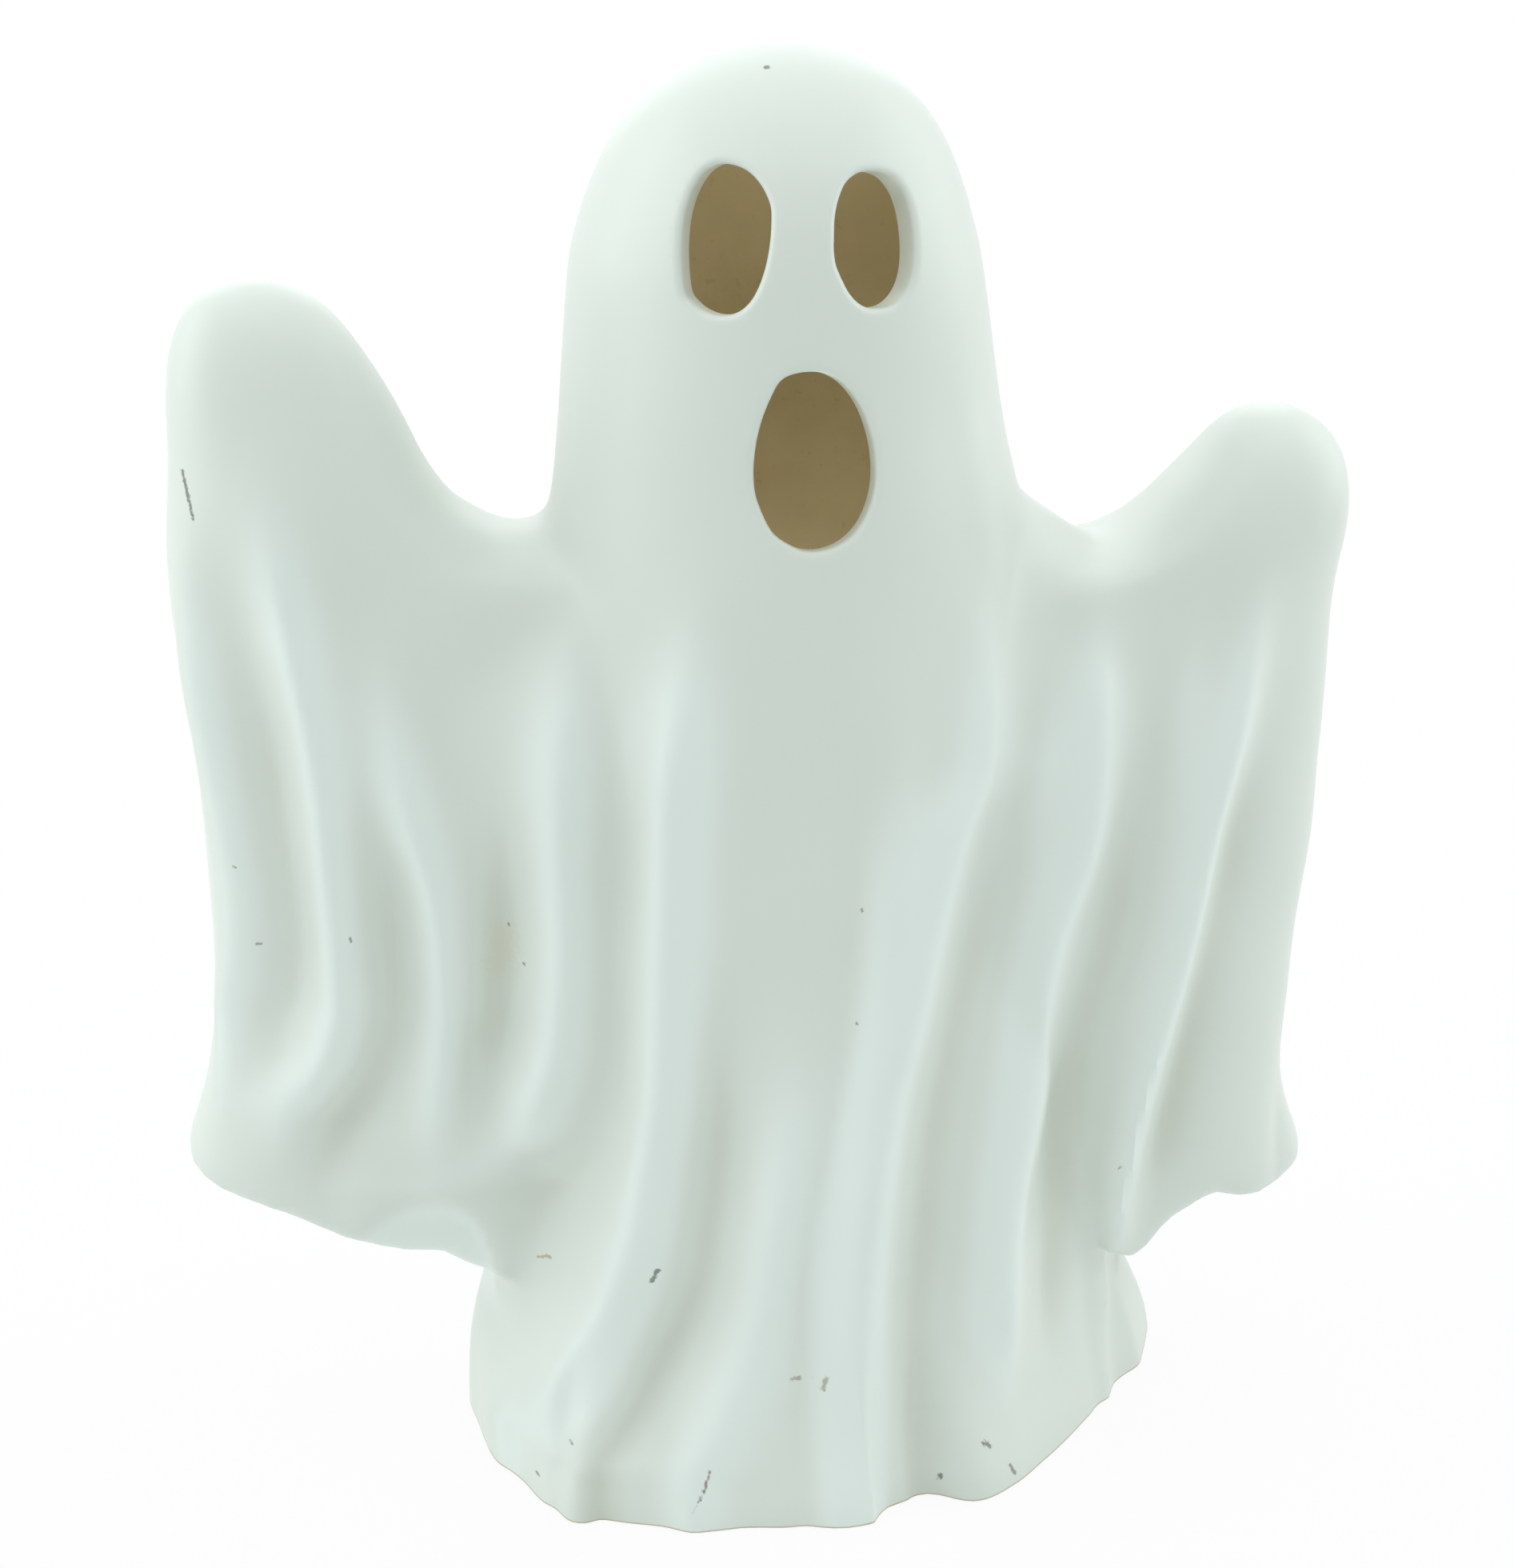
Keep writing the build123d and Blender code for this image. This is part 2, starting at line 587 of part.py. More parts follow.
# Switch: a knob in the plate's slot under a wider slide, at its off end
switch_y = -switch_travel / 2
with BuildPart() as switch_slider:
    with BuildSketch(Plane((switch_x, switch_y, knob_recess))):
        Rectangle(knob_width, knob_length)
    extrude(amount=slide_low - knob_recess)
    with BuildSketch(Plane((switch_x, switch_y, slide_low))):
        Rectangle(slide_width, slide_length)
    extrude(amount=slide_thickness)
    with BuildSketch(Plane((switch_x, switch_y, knob_recess))):
        with GridLocations(0, knob_length / 4, 1, 3):
            Rectangle(knob_width, knob_length / 10)
    extrude(amount=plate_thickness / 4, mode=Mode.SUBTRACT)
switch_slider.part.label = "switch_slider"
export_step(switch_slider.part, "parts/switch_slider.step")

# Bridge strip that rides on the slide
with BuildPart() as switch_contact:
    with BuildSketch(Plane((switch_x, switch_y, strip_low))):
        RectangleRounded(slide_width - strip, slide_length - strip, strip)
    extrude(amount=strip)
switch_contact.part.label = "switch_contact"
export_step(switch_contact.part, "parts/switch_contact.step")
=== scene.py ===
import math
import bpy
import numpy as np
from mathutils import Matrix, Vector
from mathutils.bvhtree import BVHTree


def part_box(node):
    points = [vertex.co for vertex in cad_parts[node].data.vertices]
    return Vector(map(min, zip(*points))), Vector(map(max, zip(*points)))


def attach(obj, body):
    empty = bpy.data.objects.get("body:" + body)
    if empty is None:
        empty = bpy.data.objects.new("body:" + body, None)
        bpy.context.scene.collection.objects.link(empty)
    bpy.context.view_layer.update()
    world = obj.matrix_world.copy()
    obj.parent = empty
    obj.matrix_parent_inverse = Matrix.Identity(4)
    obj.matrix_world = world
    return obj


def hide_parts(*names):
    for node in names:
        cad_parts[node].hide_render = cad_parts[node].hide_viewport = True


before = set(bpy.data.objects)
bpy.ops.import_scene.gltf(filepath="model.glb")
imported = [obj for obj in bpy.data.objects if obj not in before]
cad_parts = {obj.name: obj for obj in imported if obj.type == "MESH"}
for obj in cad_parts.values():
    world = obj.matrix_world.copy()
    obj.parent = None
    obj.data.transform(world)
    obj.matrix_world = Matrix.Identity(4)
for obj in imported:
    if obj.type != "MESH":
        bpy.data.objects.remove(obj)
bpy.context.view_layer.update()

mm = 0.001
print("stage: frame loaded,", len(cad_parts), "CAD nodes")


def freshStart():
    if bpy.context.mode != "OBJECT":
        bpy.ops.object.mode_set(mode="OBJECT")
    bpy.ops.object.select_all(action="DESELECT")


def pick(*pieces):
    freshStart()
    for piece in pieces:
        piece.select_set(True)
    bpy.context.view_layer.objects.active = pieces[0]


def finishWith(piece, kind, **settings):  # add a modifier and apply it
    pick(piece)
    modifier = piece.modifiers.new(kind, kind)
    for key, value in settings.items():
        setattr(modifier, key, value)
    bpy.ops.object.modifier_apply(modifier=modifier.name)


def smoothLine(points, at):  # smooth curve through (place, value) points, for one place or many
    points = sorted(points)
    places = np.array([p[0] for p in points], float)
    values = np.array([p[1] for p in points], float)
    slopes = np.empty(len(points))
    for i in range(len(points)):
        a, b = max(i - 1, 0), min(i + 1, len(points) - 1)
        slopes[i] = (values[b] - values[a]) / (places[b] - places[a])
    at = np.clip(np.asarray(at, float), places[0], places[-1])
    low = np.clip(np.searchsorted(places, at, side="right") - 1, 0, len(points) - 2)
    span = places[low + 1] - places[low]
    t = (at - places[low]) / span
    rise, fall, step = slopes[low] * span, slopes[low + 1] * span, values[low + 1] - values[low]
    bend = 3 * step - 2 * rise - fall
    return values[low] + t * (rise + t * (bend + t * (step - rise - bend)))


def ease(value, low, high):  # smooth 0..1 step
    t = np.clip((np.asarray(value, float) - low) / (high - low), 0, 1)
    return t * t * (3 - 2 * t)


# Ghost shell: sizes in millimetres, the same figure as the CAD casting, left and right as seen from the front
ghost = {
    "heights": [0, 30, 100, 190, 234],
    "widths": [144, 131, 109, 90, 79],
    "depths": [111, 92, 80, 78, 77],
    "shifts": [11.5, 9.5, 5.5, 4.5, 4.0],
    "crown": 47,
    "skew": 0.10,              # the foot's right side trails to the back
    "wall": 5.5,
    "outerVoxel": 1.6,
    "innerVoxel": 3.0,
    "below": -14,              # the body starts under the table and is trimmed there
    "softening": 34,           # passes that round the creases between body and sleeves
    "innerSoftening": 10,
    "lastSoftening": 4,        # passes after the folds are laid
    "squareness": 2.4,         # a sleeve is squarer than an ellipse
    "left": {"side": -1, "tip": (239, 94), "saddle": (187.5, 46), "shoulder": 113, "elbow": (98, 108),
             "hem": (48, 119.5), "tilt": 19.5, "depth": 42},
    "right": {"side": 1, "tip": (209, 100), "saddle": (183, 58), "shoulder": 117.5, "elbow": (78, 110.8),
              "hem": (41, 119), "tilt": 17, "depth": 40},
    "root": 25,
    "crest": 0.52,
    "mantle": [(2, 52, 50, 30), (1, 72, 70, 32), (1, 100, 86, 32), (1, 135, 92, 31), (2, 160, 92, 29),
               (3, 174, 84, 25), (4, 183, 70, 20), (4, 189, 56, 12)],  # cloth between body and sleeves
    "fullness": 0.35,          # gives back what the softening takes
}


def bodyAt(key, height):
    return smoothLine(list(zip(ghost["heights"], ghost[key])), height)


def bodyOvals(inset, low):  # (centre x, height, half width, half depth, tilt) from the foot to the crown
    ovals = []
    brow = ghost["heights"][-1]
    for height in np.linspace(low, brow, 30):
        ovals.append((float(bodyAt("shifts", height)), height, float(bodyAt("widths", height)) / 2 - inset,
                      float(bodyAt("depths", height)) / 2 - inset, 0.0))
    for turn in (12, 24, 36, 47, 57, 66, 74, 81, 86):
        shrink, lift = math.cos(math.radians(turn)), math.sin(math.radians(turn))
        ovals.append((ghost["shifts"][-1], brow + (ghost["crown"] - inset) * lift,
                      (ghost["widths"][-1] / 2 - inset) * shrink, (ghost["depths"][-1] / 2 - inset) * shrink, 0.0))
    return ovals


def sleeveOvals(sleeve, inset):  # from the closed hem to the tip of the raised arm
    side = sleeve["side"]
    tipHeight, tipReach = sleeve["tip"][0] - inset, sleeve["tip"][1]
    saddleHeight, saddleReach = sleeve["saddle"]
    hemHeight = sleeve["hem"][0] + inset * 2.4
    reaches = [sleeve["hem"], sleeve["elbow"], (saddleHeight, sleeve["shoulder"])]
    climb = sleeve["elbow"][0] - hemHeight
    ovals = []
    for height in np.linspace(hemHeight, saddleHeight - inset, 22)[:-1]:
        tilt = sleeve["tilt"] * max(0.0, 1 - (height - hemHeight) / climb)
        inner = side * float(bodyAt("shifts", height)) + float(bodyAt("widths", height)) / 2 - ghost["root"]
        outer = float(smoothLine(reaches, height)) - inset
        ovals.append((side * (inner + outer) / 2, height, (outer - inner) / 2, sleeve["depth"] / 2 - inset,
                      side * tilt))
    for turn in (0, 9, 18, 27, 36, 45, 54, 62, 70, 77, 83):
        share = math.sin(math.radians(turn))
        height = saddleHeight - inset + (tipHeight - saddleHeight + inset) * share
        outer = tipReach + (sleeve["shoulder"] - inset - tipReach) * math.sqrt(1 - share ** 4)
        slope = ghost["crest"] * math.sqrt(1 - share ** 2) + (1 - ghost["crest"]) * (1 - share) ** 5
        inner = tipReach - (tipReach - saddleReach - inset) * slope
        halfDepth = (sleeve["depth"] / 2 - inset) * math.sqrt(1 - share ** 2.4)
        ovals.append((side * (inner + outer) / 2, height, (outer - inner) / 2, halfDepth, 0.0))
    return ovals


def stackOvals(name, ovals, squareness=2.0):  # one circle, extruded and resized oval by oval, closed at the top
    freshStart()
    x, z, halfWidth, halfDepth, tilt = ovals[0]
    bpy.ops.mesh.primitive_circle_add(vertices=80, radius=halfWidth * mm, fill_type="NGON",
                                      location=(x * mm, 0, z * mm))
    piece = bpy.context.object
    piece.name = name
    bpy.ops.object.transform_apply(location=True, rotation=True, scale=True)
    for vertex in piece.data.vertices:
        across, deep = (vertex.co.x / mm - x) / halfWidth, vertex.co.y / mm / halfWidth
        bulge = (abs(across) ** squareness + abs(deep) ** squareness) ** (-1 / squareness)
        vertex.co.x, vertex.co.y = (x + across * bulge * halfWidth) * mm, deep * bulge * halfDepth * mm
    bpy.ops.object.mode_set(mode="EDIT")
    bpy.ops.mesh.select_all(action="SELECT")
    bpy.ops.transform.rotate(value=math.radians(tilt), orient_axis="Y", center_override=(x * mm, 0, z * mm))
    for x1, z1, width1, depth1, tilt1 in ovals[1:]:
        bpy.ops.mesh.extrude_region_move(TRANSFORM_OT_translate={"value": ((x1 - x) * mm, 0, (z1 - z) * mm)})
        centre = (x1 * mm, 0, z1 * mm)
        if tilt:
            bpy.ops.transform.rotate(value=math.radians(-tilt), orient_axis="Y", center_override=centre)
        bpy.ops.transform.resize(value=(width1 / halfWidth, depth1 / halfDepth, 1), center_override=centre)
        if tilt1:
            bpy.ops.transform.rotate(value=math.radians(tilt1), orient_axis="Y", center_override=centre)
        x, z, halfWidth, halfDepth, tilt = x1, z1, width1, depth1, tilt1
    bpy.ops.mesh.select_all(action="SELECT")
    bpy.ops.mesh.normals_make_consistent(inside=False)
    bpy.ops.object.mode_set(mode="OBJECT")
    return piece


def fuse(name, pieces, voxel, passes):  # join, remesh into one skin and soften its creases
    pick(*pieces)
    bpy.ops.object.join()
    piece = bpy.context.object
    piece.name = name
    piece.data.name = name
    finishWith(piece, "REMESH", mode="VOXEL", voxel_size=voxel * mm)
    finishWith(piece, "SMOOTH", factor=0.5, iterations=passes)
    return piece


def readPoints(mesh):  # places in millimetres, and normals
    places = np.empty(len(mesh.vertices) * 3)
    normals = np.empty(len(mesh.vertices) * 3)
    mesh.vertices.foreach_get("co", places)
    mesh.vertices.foreach_get("normal", normals)
    return places.reshape(-1, 3) / mm, normals.reshape(-1, 3)


def sculpt(piece, move):  # move all points by a function of their places and normals, in millimetres
    moved = move(*readPoints(piece.data)) * mm
    piece.data.vertices.foreach_set("co", moved.ravel())
    piece.data.update()


outer = fuse("ghost_shell_glazed", [
    stackOvals("body", bodyOvals(0, ghost["below"])),
    stackOvals("leftSleeve", sleeveOvals(ghost["left"], 0), ghost["squareness"]),
    stackOvals("rightSleeve", sleeveOvals(ghost["right"], 0), ghost["squareness"]),
    stackOvals("mantle", [(*oval, 0.0) for oval in ghost["mantle"]])], ghost["outerVoxel"], ghost["softening"])
print("stage: outer skin,", len(outer.data.polygons), "faces")

# Ridges and hollows of the drape: depth, breadth and an (x, height) line in millimetres, seen from the front
drape = {
    "ridges": [
        (4.5, 6.0, [(-110.5, 207), (-108.5, 176), (-104.5, 144), (-102, 125), (-103, 108), (-106, 98), (-112, 80)]),
        (6.5, 6.2, [(-95, 219), (-93, 198), (-90, 176), (-87, 154), (-85.2, 128), (-84.6, 108), (-84.4, 100),
                    (-87.6, 89), (-95.8, 77)]),
        (6.0, 6.2, [(-75, 185), (-74, 166), (-70.5, 144), (-65.5, 124), (-64, 104), (-65.5, 87), (-67.5, 73)]),
        (6.5, 7.5, [(-36, 190), (-40, 163), (-41.5, 141), (-41.2, 115), (-41.8, 105), (-43.3, 93), (-47, 80)]),
        (3.0, 7.0, [(-43.3, 98), (-47, 80), (-51.5, 72), (-58, 65), (-67, 61)]),
        (7.0, 7.5, [(-14, 195), (-17, 174), (-20, 149), (-22.2, 104), (-23.5, 85), (-26.3, 68), (-28.3, 56),
                    (-35.3, 36), (-46, 19), (-55, 9)]),
        (5.0, 9.0, [(2, 112), (0.5, 84), (-3, 57), (-9.5, 29), (-20, 8)]),
        (3.2, 6.5, [(21, 170), (20.8, 140), (18.8, 117), (17, 97), (15.4, 87), (13.9, 71), (11.7, 54), (10, 32),
                    (9, 12)]),
        (5.5, 7.0, [(37, 193), (39.3, 168), (38, 149), (32, 136), (24, 101), (18, 74), (15, 46), (14, 10)]),
        (7.0, 7.0, [(64, 190), (63, 175), (61.5, 149), (59.5, 129), (52.7, 110), (48.8, 83), (43.8, 55), (42.6, 38),
                    (44, 22)]),
        (6.0, 5.0, [(96, 192), (95, 178), (92.3, 156), (87.2, 127), (83.5, 103), (76.7, 75), (73, 47), (72.6, 36)]),
        (1.8, 2.8, [(74.5, 50), (73.2, 38), (71.6, 24), (70.2, 12), (71, 2)]),
        (2.5, 7.0, [(86, 180), (84, 156), (79, 127), (75, 103), (69, 80)]),
        (2.0, 3.4, [(56, 170), (53, 153), (51, 140), (50, 126)]),
        (1.4, 3.4, [(82, 176), (81, 156), (80, 140)]),
        (1.2, 3.6, [(34, 232), (37, 214), (39, 199), (42, 180)]),
    ],
    "hollows": [
        (3.5, 6.0, [(-99, 192), (-94.3, 146), (-91.8, 118), (-92.3, 105), (-95.5, 97)]),
        (3.5, 6.0, [(-80, 162), (-77.5, 140), (-75, 124), (-74, 102), (-75.5, 94), (-79.5, 85), (-85.3, 74.5),
                    (-89.3, 65)]),
        (5.0, 6.5, [(-53, 158), (-52, 140), (-52.8, 127), (-53.5, 114), (-54.5, 102), (-56.5, 91), (-59.5, 82)]),
        (2.4, 6.0, [(-31.5, 172), (-32, 140), (-33, 110), (-32.5, 94), (-32.5, 84), (-34.5, 73.5), (-39.5, 65),
                    (-45.5, 57), (-48, 50)]),
        (4.0, 6.5, [(-12, 120), (-12.5, 92), (-12.3, 81), (-13.4, 65), (-15, 55), (-16.3, 47.5), (-20, 38),
                    (-25.3, 29), (-30.4, 20.7), (-38.5, 12)]),
        (1.2, 2.6, [(11.5, 162), (13.7, 126), (12.3, 102), (9.7, 85), (6, 67.5), (3.3, 54), (2.2, 32), (1.5, 20)]),
        (3.2, 6.0, [(48.5, 150), (43.1, 134), (40.6, 117.5), (34, 96), (31.4, 85), (28.3, 68), (27, 50), (25, 33),
                    (24.6, 12)]),
        (3.5, 6.5, [(76, 160), (69.5, 110), (60.5, 70), (58.5, 45), (57.5, 32), (57, 21)]),
        (4.0, 5.0, [(97, 167), (96.2, 157), (94.8, 140), (93.1, 128.5), (91.4, 117), (88.8, 105), (86, 87),
                    (83.6, 69), (80.7, 54), (78, 47)]),
        (1.3, 2.6, [(109, 74), (110, 55), (110, 40)]),
    ],
    "fade": 48,       # a fold rises from nothing over this length
    "tail": 16,       # and one that ends above the foot runs out over twice this
    "low": 20,        # a fold that reaches below this height runs on to the foot
    "roundness": 1.6,
    "back": 0.8,      # folds on the back against those on the front
    "grain": 0.3,     # uneven hand-cast skin
    "arch": [(-94, 42), (-88, 49), (-83, 54), (-78, 57), (-72, 58.8), (-66, 58.8), (-61, 56), (-58, 51),
             (-56.5, 45), (-55.5, 34)],
    "archDepth": 3.2,   # under this line the left sleeve's front hem is drawn back to the body
    "archPaintedLight": 0.4,    # and the glaze is painted lighter there, painted light standing in for the floor's bounce into the recess
    "shadingDepth": 14,    # relief that takes the glaze's painted shading from end to end, painted shade in the hollows to painted highlight on the ridges
    "leftHem": [(-125, 0), (-110, 0), (-97, 0.5), (-84, -0.4), (-74, 0.4), (-66, 2.3), (-60, 0.6), (-52, 0)],
    "rightHem": [(60, 0), (70, -2), (74, -5), (77, -9.6), (80, -9.8), (83.5, -4.8), (87, -2.6), (90, -1.6),
                 (94, -0.9), (98, -3.2), (104, -6.4), (110, -7.4), (116, -6.6), (125, -5)],
    "hemBand": (18, 32, 55, 95),  # heights over which the sleeves' hems are lifted or lowered by these lines
    "sheetEdge": [(0, 73), (10, 71.6), (18, 72.2), (27, 74.5), (40, 77)],  # (height, x): the foot's front ends here
    "sheetStep": 3,   # and the back of the foot lies this much further back
    "hem": [(-180, 0), (-140, 1.5), (-110, 4), (-90, 1.1), (-67, -1.0), (-54, 4.0), (-45, 9.0), (-35, 0.8),
            (-24, 0.4), (-12, 2.0), (-5, 0.2), (1, -3.1), (8, -2.7), (13, 0.1), (18, -0.6), (25, 4.6),
            (35, 3.2), (45, 0.3), (57, -2.2), (66, -3.6), (74, -4.5), (79, -1.4), (84, 0.6), (89, 1.6),
            (94, 3.4), (101, 6.5), (110, 4.2), (140, 0.5), (180, 0)],  # how the foot's edge wanders, by angle
}


def drapeRelief(x, z):
    relief = np.zeros_like(x)
    for sign, strokes in ((1, drape["ridges"]), (-1, drape["hollows"])):
        for depth, breadth, line in strokes:
            top, foot = max(p[1] for p in line), min(p[1] for p in line)
            turned = [(h, s) for s, h in line]
            path = smoothLine(turned, z)
            lean = (smoothLine(turned, z + 1) - smoothLine(turned, z - 1)) / 2  # breadth is square to the line
            strength = ease(z, top, top - min(drape["fade"], (top - foot) * 0.6))
            if foot > drape["low"]:
                strength = strength * ease(z, foot - drape["tail"], foot + drape["tail"])
            apart = np.abs(x - path) / np.hypot(1, lean) / breadth
            relief += sign * depth * strength * np.exp(-apart ** drape["roundness"])
    return relief


def facingFront(normals):  # folds die out where the skin turns to the side
    return ease(np.abs(normals[:, 1]), 0.15, 0.75)


def layFolds(places, normals):
    x, y, z = places.T
    lift = drapeRelief(x, z) * facingFront(normals) * np.where(y > 0, drape["back"], 1.0)
    lift += drape["grain"] * (np.sin(x * 0.11 + z * 0.05 + 1.3) * np.sin(z * 0.083 + y * 0.07)
                              + 0.5 * np.sin(x * 0.05 - z * 0.19))
    return places + normals * lift[:, None]


# Thumb pushes into the soft form: place, reach and move, in millimetres
pushes = [
    ((-62, 0, 218), 16, (2.5, 0, 1.5)),
    ((-80, 0, 234), 14, (1.0, 0, 0.5)),
    ((-43, 0, 190), 9, (0, 0, 1.0)),
    ((46, 0, 190), 12, (1.0, 0, 4.5)),
    ((66, 0, 190), 12, (1.0, 0, -3.0)),
    ((82, 0, 206), 10, (1.5, 0, -2.0)),
    ((-110, 0, 140), 40, (-0.6, 0, 0)),
    ((113, 0, 130), 25, (0.6, 0, 0)),
    ((-13, 0, 278), 14, (-0.4, 0, 0.8)),
    ((-28, 0, 262), 16, (-0.7, 0, 0.3)),
    ((-38, 0, 234), 18, (-0.7, 0, 0)),
    ((41, 0, 250), 18, (-0.5, 0, 0)),
    ((-107, 0, 235), 13, (-1.1, 0, 1.0)),
    ((-67, 0, 212), 14, (0.9, 0, 0.6)),
    ((-113, 0, 204), 14, (1.2, 0, 0)),
    ((-113, 0, 174), 14, (-0.8, 0, 0)),
    ((86, 0, 202), 12, (0.8, 0, -1.2)),
    ((74, 0, 191), 12, (0.8, 0, -1.4)),
    ((117, 0, 165), 18, (-0.9, 0, 0)),
    ((115, 0, 118), 22, (0.8, 0, 0)),
    ((113, 0, 66), 14, (-1.4, 0, 0)),
    ((-114, 0, 74), 12, (1.0, 0, 0)),
    ((-62, 0, 22), 14, (-2.0, 0, 0)),
    ((29, 0, 271), 14, (0.5, 0, 0.6)),
    ((-32, 0, 255), 14, (0.5, 0, -0.2)),
    ((116, 0, 137), 14, (0.4, 0, 0)),
    ((-109, 0, 115), 14, (-0.5, 0, 0)),
    ((117, 0, 44), 14, (1.0, 0, -0.3)),
    ((-66, 0, 36), 14, (-1.0, 0, -3.2)),
    ((86, 0, 202), 14, (-0.5, 0, 0.5)),
    ((74, 0, 191), 14, (-0.3, 0, 0.5)),
    ((-112, 0, 158), 14, (0.5, 0, 0)),
    ((112, 0, 66), 14, (0.4, 0, 0)),
    ((117, 0, 47), 14, (0.6, 0, -0.2)),
    ((-83, 0, 39), 14, (-0.2, 0, -1.2)),
]
pushDepth = 40  # how far a push reaches from front to back


def pushClay(places, normals):
    moved = places.copy()
    for place, reach, move in pushes:
        apart = places - np.array(place)
        near = np.exp(-(apart[:, 0] ** 2 + apart[:, 2] ** 2) / reach ** 2 - (apart[:, 1] / pushDepth) ** 2)
        moved += near[:, None] * np.array(move, float)
    low, risen, falling, high = drape["hemBand"]
    for hem in ("leftHem", "rightHem"):
        line = drape[hem]
        root = line[:2] if hem == "rightHem" else line[:-3:-1]  # its two points next to the body
        reach = ease(places[:, 0], root[0][0], root[1][0])
        moved[:, 2] += (smoothLine(line, places[:, 0]) * reach * ease(places[:, 2], high, falling)
                        * ease(places[:, 2], low, risen))
    x, y, z = moved.T
    middle = bodyAt("shifts", z)
    moved[:, 1] += ease(z, 100, 0) * ghost["skew"] * (x - middle)  # the foot is turned
    across, deep = moved[:, 0] - middle, moved[:, 1]
    wander = smoothLine(drape["hem"], np.degrees(np.arctan2(across, -deep))) * ease(z, 46, 2)
    wander *= ease(np.hypot(across, deep), 20, 40)
    out = np.stack([across, deep], 1) / np.maximum(np.hypot(across, deep), 1)[:, None]
    moved[:, :2] += out * wander[:, None]
    return moved


def underArch(x, z):  # 1 in the recess under the left sleeve's front hem
    return ease(smoothLine(drape["arch"], x) - z, -2.0, 6.0) * ease(x, -92, -72) * ease(x, -50, -60)


def drawBackHem(places, normals):  # the recess under the left sleeve's front hem, and the step at the foot's right
    x, y, z = places.T
    under = underArch(x, z)
    behind = ease(x - smoothLine(drape["sheetEdge"], z), -0.5, 2.2) * ease(z, 34, 25) * ease(x, 92, 83)
    moved = places.copy()
    moved[:, 1] += drape["archDepth"] * under * ease(y, 6, -8) + drape["sheetStep"] * behind * ease(y, -3, -13)
    return moved


sculpt(outer, lambda places, normals: places + normals * ghost["fullness"])
sculpt(outer, pushClay)
sculpt(outer, layFolds)
sculpt(outer, drawBackHem)
finishWith(outer, "SMOOTH", factor=0.5, iterations=ghost["lastSoftening"])
print("stage: folds laid")


def cutFlat(piece, height):  # trim what lies below the table
    pick(piece)
    bpy.ops.object.mode_set(mode="EDIT")
    bpy.ops.mesh.select_all(action="SELECT")
    bpy.ops.mesh.bisect(plane_co=(0, 0, height), plane_no=(0, 0, 1), use_fill=True, clear_inner=True)
    bpy.ops.object.mode_set(mode="OBJECT")


cutFlat(outer, 0)

cavity = fuse("cavity", [
    stackOvals("bodyHollow", bodyOvals(ghost["wall"], ghost["below"])),
    stackOvals("leftHollow", sleeveOvals(ghost["left"], ghost["wall"]), ghost["squareness"]),
    stackOvals("rightHollow", sleeveOvals(ghost["right"], ghost["wall"]), ghost["squareness"])],
    ghost["innerVoxel"], ghost["innerSoftening"])
sculpt(cavity, pushClay)
sculpt(cavity, layFolds)
print("stage: hollow,", len(cavity.data.polygons), "faces")

# Hand-cut face: outlines in millimetres on a plane square to each cut
faceCuts = {
    "leftEye": {"turn": -22.5, "rise": 9, "height": 251, "outline": [
        (-2.8, 13.4), (-0.2, 13.1), (2.2, 12.1), (4.3, 10.3), (5.8, 8.2), (6.8, 5.9), (7.1, 3.0), (7.1, 0.0),
        (6.7, -3.6), (5.8, -7.2), (4.4, -10.2), (2.4, -12.3), (0.0, -13.2), (-2.5, -13.2), (-4.9, -12.4),
        (-6.6, -11.2), (-7.8, -9.9), (-8.4, -7.7), (-8.8, -4.8), (-9.1, -1.2), (-9.1, 2.6), (-8.7, 5.8),
        (-7.8, 8.9), (-6.4, 11.4), (-4.8, 12.8)]},
    "rightEye": {"turn": 18.5, "rise": 9, "height": 251, "outline": [
        (-6.1, 0.2), (-5.5, 3.8), (-4.3, 6.9), (-2.4, 9.7), (0.0, 11.2), (2.3, 11.6), (4.9, 11.3), (7.5, 10.1),
        (9.4, 7.4), (10.2, 4.0), (10.2, -0.3), (9.7, -4.3), (8.6, -7.8), (6.7, -10.6), (4.2, -12.3), (1.4, -12.7),
        (-1.0, -12.2), (-2.8, -11.0), (-4.2, -9.2), (-5.1, -7.3), (-5.8, -5.5), (-6.2, -4.0), (-6.3, -2.0)]},
    "mouth": {"turn": 0, "rise": 11, "height": 211, "outline": [
        (-0.1, 16.2), (3.0, 15.8), (6.2, 14.0), (9.1, 10.6), (11.1, 6.4), (12.3, 2.0), (12.7, -2.2), (12.4, -6.0),
        (11.3, -9.6), (9.6, -12.6), (7.4, -14.8), (4.5, -16.3), (1.4, -16.8), (-1.2, -16.4), (-3.6, -15.2),
        (-5.8, -13.6), (-7.2, -11.6), (-8.6, -8.4), (-9.5, -5.2), (-9.7, -1.0), (-9.2, 3.8), (-8.1, 8.2),
        (-6.4, 12.3), (-5.1, 14.5), (-3.2, 15.7)]},
}


def roundedOutline(points, steps=4):  # smooth closed line through given points
    count, line = len(points), []
    points = np.array(points, float)
    for i in range(count):
        p0, p1, p2, p3 = (points[(i + k) % count] for k in (-1, 0, 1, 2))
        for step in range(steps):
            t = step / steps
            line.append(0.5 * (2 * p1 + (p2 - p0) * t + (2 * p0 - 5 * p1 + 4 * p2 - p3) * t ** 2
                               + (3 * p1 - p0 - 3 * p2 + p3) * t ** 3))
    return line


# Rounding of the cuts' outer edges, the tools' ends and flare, and the rays that find the skin
lip = {"round": 1.5, "proud": 22, "deep": 28, "flare": 1.5, "clear": 0.25, "from": 40,
       "turns": (0, 18, 36, 54, 72, 90)}


